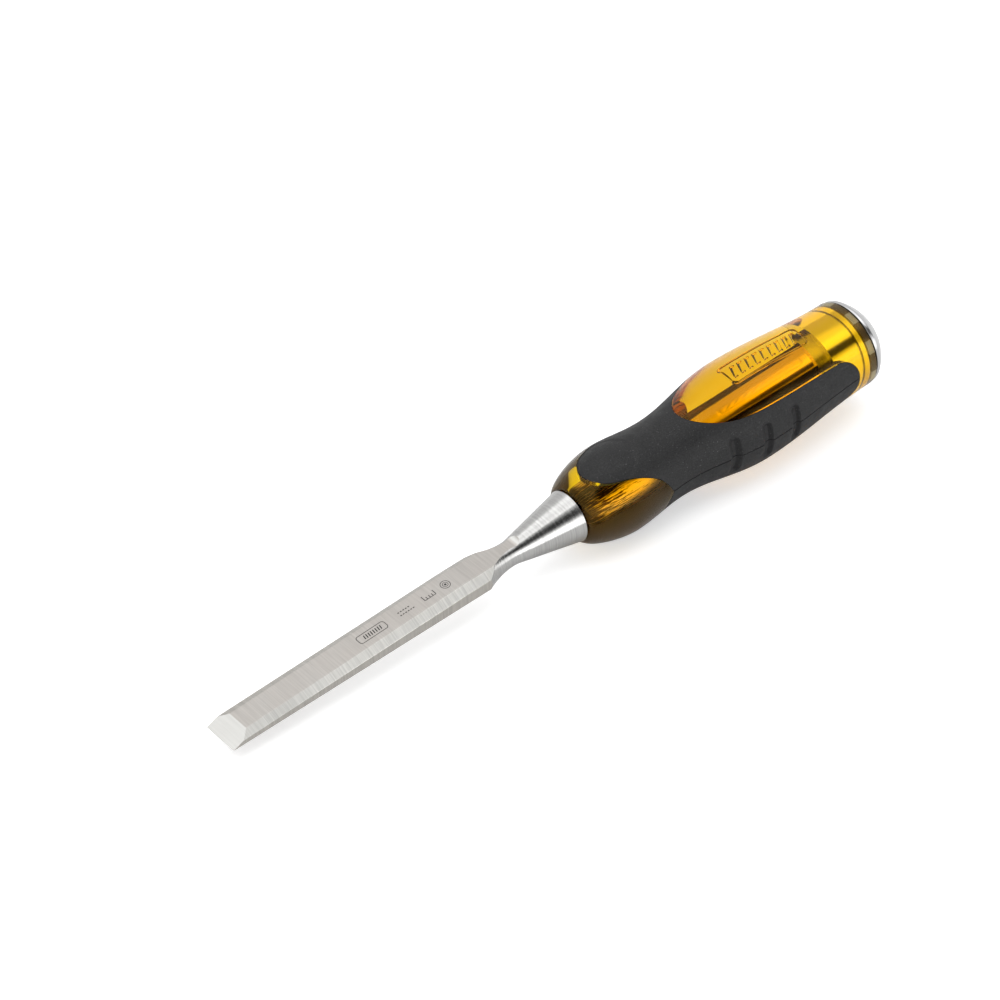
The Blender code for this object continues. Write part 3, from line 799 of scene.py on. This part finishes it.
def wall_grids(wall):
    """The rubber's edge: its top follows the relief and its foot does not."""
    tops = mirrored([[row[0]] for row in wall], grip_relief)
    feet = mirrored([[row[1]] for row in wall])
    return [[top + foot for top, foot in zip(*pair)] for pair in zip(tops, feet)]


# ---- Striking end ------------------------------------------------------------------------

def make_collar(material):
    bore = SPIGOT_RADIUS + GAP
    shoulder = COLLAR_RADIUS - COLLAR_ROUNDING
    outline = [(COLLAR_START_X, bore), (COLLAR_START_X, shoulder)]
    outline += arc((COLLAR_START_X + COLLAR_ROUNDING, shoulder), COLLAR_ROUNDING, 180, 90, 4)
    outline += arc((COLLAR_END_X - COLLAR_ROUNDING, shoulder), COLLAR_ROUNDING, 90, 0, 4)
    outline += [(COLLAR_END_X, bore), (COLLAR_START_X, bore)]
    collar = mesh_from_grids("collar", [turned_grid(outline)])
    return place(collar, material, "fastening_steel", "tang_collar")


def make_washer(material):
    bore = STEM_RADIUS + GAP
    shoulder = WASHER_RADIUS - WASHER_CHAMFER
    outline = [(WASHER_START_X, bore), (WASHER_START_X, shoulder)]
    outline += [(WASHER_START_X + WASHER_CHAMFER, WASHER_RADIUS)]
    outline += [(WASHER_END_X - WASHER_CHAMFER, WASHER_RADIUS)]
    outline += [(WASHER_END_X, shoulder), (WASHER_END_X, bore), (WASHER_START_X, bore)]
    washer = mesh_from_grids("washer", [turned_grid(outline)])
    return place(washer, material, "washer_plastic", "cap_washer")


def make_cap(material):
    """The domed cap with its stem, which is drilled from the front."""
    rim_start = WASHER_END_X + GAP
    rim_end = rim_start + RIM_HEIGHT
    lip = rim_start - RIM_LIP
    dome_centre = rim_end - sqrt(DOME_RADIUS ** 2 - CAP_RADIUS ** 2)
    dome_start = degrees(acos((rim_end - dome_centre) / DOME_RADIUS)) - 0.3
    bore = SPIGOT_RADIUS + GAP
    stem_edge = (STEM_START_X + STEM_ROUNDING, STEM_RADIUS - STEM_ROUNDING)
    outline = [(BORE_END_X + DRILL_POINT, 0.0), (BORE_END_X, bore), (STEM_START_X, bore)]
    outline += arc(stem_edge, STEM_ROUNDING, 180, 90, 5)
    outline += [(rim_start - STEM_FILLET, STEM_RADIUS), (rim_start, STEM_RADIUS + STEM_FILLET)]
    outline += [(rim_start, WASHER_RADIUS + GAP), (lip, WASHER_RADIUS + GAP)]
    outline += arc((lip + RIM_EDGE, CAP_RADIUS - RIM_EDGE), RIM_EDGE, 180, 90, 4)
    outline += [(rim_end - 0.1, CAP_RADIUS)]
    outline += arc((dome_centre, 0.0), DOME_RADIUS, dome_start, 0, 40)
    cap = mesh_from_grids("cap", [turned_grid(outline)], 28.0)
    return place(cap, material, "cap_steel", "strike_cap")


# ---- Materials ---------------------------------------------------------------------------

class Graph:
    """Short ways to add and join shader nodes."""

    def __init__(self, name):
        self.material = bpy.data.materials.new(name)
        self.material.use_nodes = True
        self.tree = self.material.node_tree
        self.shader = self.tree.nodes["Principled BSDF"]
        self.output = self.tree.nodes["Material Output"]
        place = self.add("ShaderNodeTexCoord", out="Object")
        self.place = self.vector("MULTIPLY", place, (1 / MM, 1 / MM, 1 / MM))
        parts = self.tree.nodes.new("ShaderNodeSeparateXYZ")
        self.tree.links.new(self.place, parts.inputs[0])
        self.x, self.y, self.z = parts.outputs
        facing = self.tree.nodes.new("ShaderNodeSeparateXYZ")
        self.tree.links.new(self.add("ShaderNodeNewGeometry", out="Normal"), facing.inputs[0])
        self.nx, self.ny, self.nz = facing.outputs

    def join(self, value, socket):
        if isinstance(value, bpy.types.NodeSocket):
            self.tree.links.new(value, socket)
        else:
            socket.default_value = value

    def add(self, kind, inputs=None, out=0, **settings):
        node = self.tree.nodes.new(kind)
        for name, value in settings.items():
            setattr(node, name, value)
        for name, value in (inputs or {}).items():
            self.join(value, node.inputs[name])
        return node.outputs[out]

    def math(self, operation, *values):
        return self.add("ShaderNodeMath", dict(enumerate(values)), operation=operation)

    def vector(self, operation, *values):
        return self.add("ShaderNodeVectorMath", dict(enumerate(values)), operation=operation)

    def scale(self, vector, factor):
        return self.add("ShaderNodeVectorMath", {0: vector, "Scale": factor}, operation="SCALE")

    def combine(self, x, y, z):
        return self.add("ShaderNodeCombineXYZ", {"X": x, "Y": y, "Z": z})

    def noise(self, vector, scale, detail=2.0, rough=0.5):
        inputs = {"Vector": vector, "Scale": scale, "Detail": detail, "Roughness": rough}
        return self.add("ShaderNodeTexNoise", inputs, out=0)

    def remap(self, value, low, high, to_low=0.0, to_high=1.0, kind="SMOOTHSTEP"):
        inputs = {"Value": value, "From Min": low, "From Max": high}
        inputs.update({"To Min": to_low, "To Max": to_high})
        return self.add("ShaderNodeMapRange", inputs, interpolation_type=kind)

    def mix(self, share, first, second):
        node = self.tree.nodes.new("ShaderNodeMix")
        node.data_type = "RGBA"
        for value, socket in ((share, 0), (first, 6), (second, 7)):
            self.join(value, node.inputs[socket])
        return node.outputs[2]

    def bump(self, height, strength, distance):
        inputs = {"Height": height, "Strength": strength, "Distance": distance}
        return self.add("ShaderNodeBump", inputs)

    def finish(self, **inputs):
        for name, value in inputs.items():
            self.join(value, self.shader.inputs[name.replace("_", " ")])
        return self.material


def grey(value):
    return (value, value, value, 1.0)


def steel_lines(g, squash, coarse, fine):
    """Two sizes of lines across the blade, also running round the neck and the cone."""
    flat = g.vector("MULTIPLY", g.place, (1.0, squash, squash))
    return g.noise(flat, coarse, 3.0, 0.6), g.noise(flat, fine, 3.0, 0.6)


def ground_material():
    """Ground flats of the blade: fine lines across, each flat with its own tone of painted light.

    The flats are lit and shaded copies of one ground finish, and the long bevel on the right has a
    painted reflection that gets brighter from the cutting edge towards the bolster.
    """
    g = Graph("ground_tool_steel")
    coarse, fine = steel_lines(g, 0.03, 1.6, 4.5)
    cloud = g.noise(g.place, 0.09, 3.0, 0.55)
    top = g.remap(g.nz, 0.90, 0.97)
    tip = g.math("MULTIPLY", g.remap(g.nx, -0.2, -0.3), g.remap(g.nz, 0.80, 0.88))
    lines = g.math("ADD", g.math("MULTIPLY", coarse, 0.7), g.math("MULTIPLY", fine, 0.3))
    tone = g.remap(lines, 0.34, 0.66, -1.0, 1.0, "LINEAR")
    depth = g.remap(g.math("MAXIMUM", top, tip), 0.0, 1.0, 0.15, 0.10, "LINEAR")
    depth = g.math("MULTIPLY", depth, g.remap(tip, 0.0, 1.0, 1.0, 0.5))
    level = g.math("ADD", 1.0, g.math("MULTIPLY", tone, depth))
    # Each flat's tone is painted light: lit and shaded copies of the one ground steel.
    side = g.mix(cloud, (0.409, 0.390, 0.361, 1.0), (0.434, 0.415, 0.386, 1.0))
    # Painted reflection on the right bevel, brighter towards the bolster.
    painted_bevel_light = g.remap(g.x, *BEVEL_PAINTED_LIGHT_X, *BEVEL_PAINTED_LIGHT, "LINEAR")
    bevel = g.scale(g.mix(cloud, (1.0, 0.98, 0.93, 1.0), (1.0, 0.995, 0.955, 1.0)), painted_bevel_light)
    bevelled = g.math("MULTIPLY", g.remap(g.ny, -0.2, -0.3), g.remap(g.nz, 0.4, 0.5))
    face = g.mix(cloud, (0.412, 0.384, 0.358, 1.0), (0.421, 0.406, 0.387, 1.0))
    tip_face_painted_light = g.mix(cloud, (0.475, 0.472, 0.455, 1.0), (0.505, 0.502, 0.485, 1.0))
    colour = g.mix(top, g.mix(bevelled, side, bevel), face)
    colour = g.mix(tip, colour, tip_face_painted_light)
    colour = g.scale(colour, level)
    rough = g.math("ADD", 0.33, g.math("MULTIPLY", fine, 0.12))
    normal = g.bump(fine, 0.2, 0.00002)
    return g.finish(Base_Color=colour, Metallic=1.0, Roughness=rough, Normal=normal)


def polished_material():
    """Turned and polished neck and bolster, with fine lines left by the turning."""
    g = Graph("polished_bolster_steel")
    coarse, fine = steel_lines(g, 0.012, 2.4, 6.0)
    tone = g.remap(g.math("ADD", coarse, fine), 0.8, 1.2, 0.0, 1.0, "LINEAR")
    colour = g.mix(tone, (0.37, 0.368, 0.36, 1.0), (0.47, 0.468, 0.46, 1.0))
    rough = g.math("ADD", 0.10, g.math("MULTIPLY", fine, 0.10))
    normal = g.bump(g.math("ADD", fine, g.math("MULTIPLY", coarse, 2.0)), 0.7, 0.00006)
    return g.finish(Base_Color=colour, Metallic=1.0, Roughness=rough, Normal=normal)


def marks_material():
    """Dark matt etching."""
    g = Graph("dark_etching")
    cloud = g.noise(g.place, 2.0, 3.0)
    colour = g.mix(cloud, (0.02, 0.019, 0.018, 1.0), (0.05, 0.048, 0.046, 1.0))
    return g.finish(Base_Color=colour, Metallic=0.3, Roughness=0.6)


def tang_material():
    """Forged tang: dark scale streaked along it near the bolster, brighter behind."""
    g = Graph("streaked_tang_steel")
    along = g.vector("MULTIPLY", g.place, (0.06, 1.0, 1.0))
    streaks = g.noise(along, 2.6, 4.0, 0.7)
    scaled = g.remap(g.x, SCALE_FADE_X[1], SCALE_FADE_X[0])
    limit = g.remap(g.x, *STREAKS_WIDEN_X, 0.57, 0.40, "LINEAR")
    bright = g.remap(g.math("SUBTRACT", streaks, limit), -0.02, 0.05)
    bright = g.math("MAXIMUM", bright, g.math("SUBTRACT", 1.0, scaled))
    # Painted light: both tones carry the warm tint of light through the amber; the scale is the
    # steel's own.
    colour = g.mix(bright, (0.05, 0.016, 0.005, 1.0), (0.88, 0.53, 0.28, 1.0))
    rough = g.remap(scaled, 0.0, 1.0, 0.13, 0.28, "LINEAR")
    normal = g.bump(streaks, 0.5, g.remap(scaled, 0.0, 1.0, 0.00002, 0.0002, "LINEAR"))
    return g.finish(Base_Color=colour, Metallic=1.0, Roughness=rough, Normal=normal)


def amber_material():
    """Clear amber plastic whose tint deepens with the length of plastic looked through."""
    g = Graph("clear_amber_plastic")
    rough = g.remap(g.noise(g.place, 1.5, 3.0), 0.3, 0.7, 0.0, 0.03)
    normal = g.bump(g.noise(g.place, 0.12, 2.0), 0.1, 0.0002)
    tint = {"Color": (0.968, 0.918, 0.06, 1.0), "Density": 340.0}
    g.join(g.add("ShaderNodeVolumeAbsorption", tint), g.output.inputs["Volume"])
    return g.finish(
        Base_Color=grey(1.0),
        Transmission_Weight=1.0,
        IOR=1.49,
        Specular_Tint=(1.0, 0.62, 0.14, 1.0),
        Roughness=rough,
        Normal=normal,
    )


def bonded_material():
    """The dark rubber as it shows through the plastic that it clings to."""
    g = Graph("rubber_behind_plastic")
    cloud = g.noise(g.place, 0.3, 3.0)
    colour = g.mix(cloud, (0.064, 0.062, 0.056, 1.0), (0.082, 0.079, 0.073, 1.0))
    return g.finish(Base_Color=colour, Roughness=0.7)


def end_bonded_material():
    """The washer as it shows through the handle's end: dark, with lighter pockets."""
    g = Graph("washer_behind_plastic")
    turn = g.math("ARCTAN2", g.math("SUBTRACT", g.z, AXIS_Z), g.y)
    turn = g.math("MULTIPLY", turn, 180 / pi)
    local = g.math("PINGPONG", g.math("SUBTRACT", turn, FIRST_POCKET), POCKET_PITCH / 2)
    pocket = g.remap(local, *POCKET_EDGE)
    cloud = g.noise(g.place, 0.4, 3.0)
    dark = g.mix(cloud, (0.03, 0.010, 0.003, 1.0), (0.065, 0.026, 0.009, 1.0))
    colour = g.mix(pocket, dark, (0.34, 0.29, 0.34, 1.0))
    return g.finish(Base_Color=colour, Roughness=0.45)


def rubber_material():
    """Matt black rubber with a fine grain; painted shade dims its shine where a wall faces the blade.
    """
    g = Graph("black_soft_rubber")
    grain = g.noise(g.place, 2.2, 3.0, 0.65)
    cloud = g.noise(g.place, 0.25, 3.0)
    # Painted shade: less shine on faces that turn towards the blade, such as a groove's rear wall.
    painted_wall_shade = g.remap(g.nx, -0.24, -0.5)
    colour = g.mix(cloud, (0.007, 0.007, 0.0075, 1.0), (0.013, 0.013, 0.0135, 1.0))
    specks = g.remap(g.noise(g.place, 2.4, 1.0), 0.70, 0.76)
    colour = g.mix(specks, colour, grey(0.07))
    rough = g.remap(cloud, 0.3, 0.7, 0.50, 0.62)
    shine = g.remap(grain, 0.25, 0.75, 0.18, 0.42, "LINEAR")
    shine = g.math("MULTIPLY", shine, g.math("SUBTRACT", 1.0, g.math("MULTIPLY", painted_wall_shade, 0.4)))
    normal = g.bump(grain, 0.3, 0.0001)
    return g.finish(Base_Color=colour, Roughness=rough, Normal=normal, Specular_IOR_Level=shine)


def cap_material():
    """Turned steel with fine lines round the axis; the stem has a painted tint of light through amber.
    """
    g = Graph("turned_cap_steel")
    lines = g.noise(g.combine(g.x, 0.0, 0.0), 9.0, 3.0)
    cloud = g.noise(g.place, 0.3, 2.0)
    colour = g.mix(cloud, (0.45, 0.452, 0.455, 1.0), (0.55, 0.552, 0.555, 1.0))
    stem = g.remap(g.x, STEM_PAINTED_TINT_END_X + 0.2, STEM_PAINTED_TINT_END_X - 0.2)
    # Painted light: the warm tint of the light that reaches the stem through the amber.
    colour = g.mix(stem, colour, (0.72, 0.51, 0.28, 1.0))
    rough = g.remap(lines, 0.3, 0.7, 0.12, 0.22)
    rough = g.math("MULTIPLY", rough, g.remap(stem, 0.0, 1.0, 1.0, 0.6))
    normal = g.bump(lines, 0.3, 0.00002)
    return g.finish(Base_Color=colour, Metallic=1.0, Roughness=rough, Normal=normal)


def collar_material():
    """Plain turned steel, with a painted warm tint of the light that reaches it through the amber."""
    g = Graph("collar_steel")
    lines = g.noise(g.combine(g.x, 0.0, 0.0), 5.0, 3.0)
    # Painted light: the warm tint of the light through the amber.
    colour = g.mix(lines, (0.50, 0.36, 0.20, 1.0), (0.72, 0.56, 0.36, 1.0))
    rough = g.remap(lines, 0.3, 0.7, 0.25, 0.4)
    return g.finish(Base_Color=colour, Metallic=1.0, Roughness=rough)


def washer_material():
    """Near-black matt plastic."""
    g = Graph("dark_washer")
    grain = g.noise(g.place, 4.0, 3.0)
    colour = g.mix(grain, grey(0.012), grey(0.03))
    return g.finish(Base_Color=colour, Roughness=0.6, Normal=g.bump(grain, 0.3, 0.00005))


# ---- Stage, light and camera -------------------------------------------------------------

FLOOR_ROOM = 0.4         # between the handle and the floor
FLOOR_GLOW = 0.45        # lightens the floor's shadows as the camera sees them
FLOOR_GLOW_THROUGH = 0.75    # the same through clear plastic


def make_floor():
    """A pale floor, along the line that touches the bulb and the belly of the handle."""
    low = AXIS_Z - BULB[1]
    drop = (BULB[1] - BELLY[1]) / (BELLY[0] - BULB[0])
    reach = 4000.0
    corners = []
    for x, y in ((-reach, -reach), (reach, -reach), (reach, reach), (-reach, reach)):
        height = low + drop * (x - BULB[0]) - FLOOR_ROOM
        corners.append((x * MM, y * MM, height * MM))
    mesh = bpy.data.meshes.new("floor")
    mesh.from_pydata(corners, [], [(0, 1, 2, 3)])
    floor = bpy.data.objects.new("floor", mesh)
    bpy.context.scene.collection.objects.link(floor)
    g = Graph("pale_floor")
    grain = g.noise(g.place, 0.02, 3.0)
    colour = g.mix(grain, grey(0.78), grey(0.82))
    path = g.tree.nodes.new("ShaderNodeLightPath")
    through = g.math("MULTIPLY", path.outputs["Is Transmission Ray"], FLOOR_GLOW_THROUGH)
    lift = g.math("MULTIPLY", path.outputs["Is Camera Ray"], FLOOR_GLOW)
    lift = g.math("ADD", lift, through)
    g.finish(Base_Color=colour, Roughness=0.9, Emission_Color=grey(1.0), Emission_Strength=lift)
    mesh.materials.append(g.material)


# Brighter and darker places of the surroundings: azimuth, elevation, the angles from there at
# which the change starts and is complete (degrees), and the change as a share of the brightness
LIGHT_CHANGES = (
    (-87.0, 52.0, 28.0, 14.0, -0.95),
    (-52.0, 42.0, 15.0, 8.0, -0.92),
    (-31.0, 24.0, 18.0, 10.0, -0.85),
    (-36.0, 60.0, 26.0, 10.0, 0.30),
    (108.0, 54.0, 28.0, 12.0, 0.35),
    (-88.0, 9.0, 24.0, 6.0, 0.60),
)


def direction_of(azimuth, elevation):
    """The unit vector with this azimuth from +X and elevation, in degrees."""
    flat = cos(radians(elevation))
    return (cos(radians(azimuth)) * flat, sin(radians(azimuth)) * flat, sin(radians(elevation)))


def make_world():
    """Soft studio surroundings, brighter from above and low on the right, with LIGHT_CHANGES."""
    world = bpy.data.worlds.new("studio")
    bpy.context.scene.world = world
    world.use_nodes = True
    g = Graph.__new__(Graph)
    g.tree = world.node_tree
    direction = g.add("ShaderNodeTexCoord", out="Generated")
    parts = g.tree.nodes.new("ShaderNodeSeparateXYZ")
    g.tree.links.new(direction, parts.inputs[0])
    up = parts.outputs[2]
    across = parts.outputs[1]
    high = g.remap(up, 0.70, 0.88, 1.0, 1.85)
    right = g.remap(across, -0.1, -0.4)
    low_right = g.math("MULTIPLY", right, g.remap(up, 0.5, 0.3))
    level = g.math("ADD", high, g.math("MULTIPLY", low_right, 1.05))
    for azimuth, elevation, edge, core, change in LIGHT_CHANGES:
        towards = direction_of(azimuth, elevation)
        inputs = {0: direction, 1: towards}
        near = g.add("ShaderNodeVectorMath", inputs, out="Value", operation="DOT_PRODUCT")
        share = g.remap(near, cos(radians(edge)), cos(radians(core)))
        level = g.math("MULTIPLY", level, g.math("ADD", 1.0, g.math("MULTIPLY", share, change)))
    path = g.tree.nodes.new("ShaderNodeLightPath")
    level = g.add("ShaderNodeMix", {0: path.outputs["Is Camera Ray"], 2: level, 3: 1.1})
    background = g.tree.nodes["Background"]
    g.join(level, background.inputs["Strength"])
    background.inputs["Color"].default_value = grey(1.0)


def make_camera():
    """A long lens, looking down at the tool from its right and from the edge's end, in metres."""
    azimuth, elevation, roll = radians(-39.334), radians(44.0), radians(-2.352)
    target, distance = Vector((0.14, 0.0, 0.0)), 1.492086
    back = Vector((sin(azimuth) * cos(elevation), -cos(azimuth) * cos(elevation), sin(elevation)))
    right = Vector((0, 0, 1)).cross(back).normalized()
    above = back.cross(right)
    turned_right = cos(roll) * right + sin(roll) * above
    turned_above = cos(roll) * above - sin(roll) * right
    camera = bpy.data.objects.new("camera", bpy.data.cameras.new("camera"))
    bpy.context.scene.collection.objects.link(camera)
    matrix = Matrix((turned_right, turned_above, back)).transposed().to_4x4()
    matrix.translation = target + back * distance
    camera.matrix_world = matrix
    camera.data.sensor_width = 36.0
    camera.data.lens = 162.0
    camera.data.shift_x = -0.05322
    camera.data.shift_y = 0.03114
    camera.data.clip_end = 50.0
    bpy.context.scene.camera = camera


def main():
    scene = bpy.context.scene
    scene.view_settings.view_transform = "Standard"
    scene.cycles.max_bounces = 16
    scene.cycles.glossy_bounces = 12
    scene.cycles.transmission_bounces = 16
    tang, collar, cap = tang_material(), collar_material(), cap_material()
    make_blade(ground_material(), polished_material(), tang)
    bonded, end_bonded = bonded_material(), end_bonded_material()
    make_marks(marks_material())
    make_handle(amber_material(), bonded, end_bonded, tang, collar, cap)
    make_grip(rubber_material())
    make_collar(collar)
    make_washer(washer_material())
    make_cap(cap)
    make_floor()
    make_world()
    make_camera()


main()
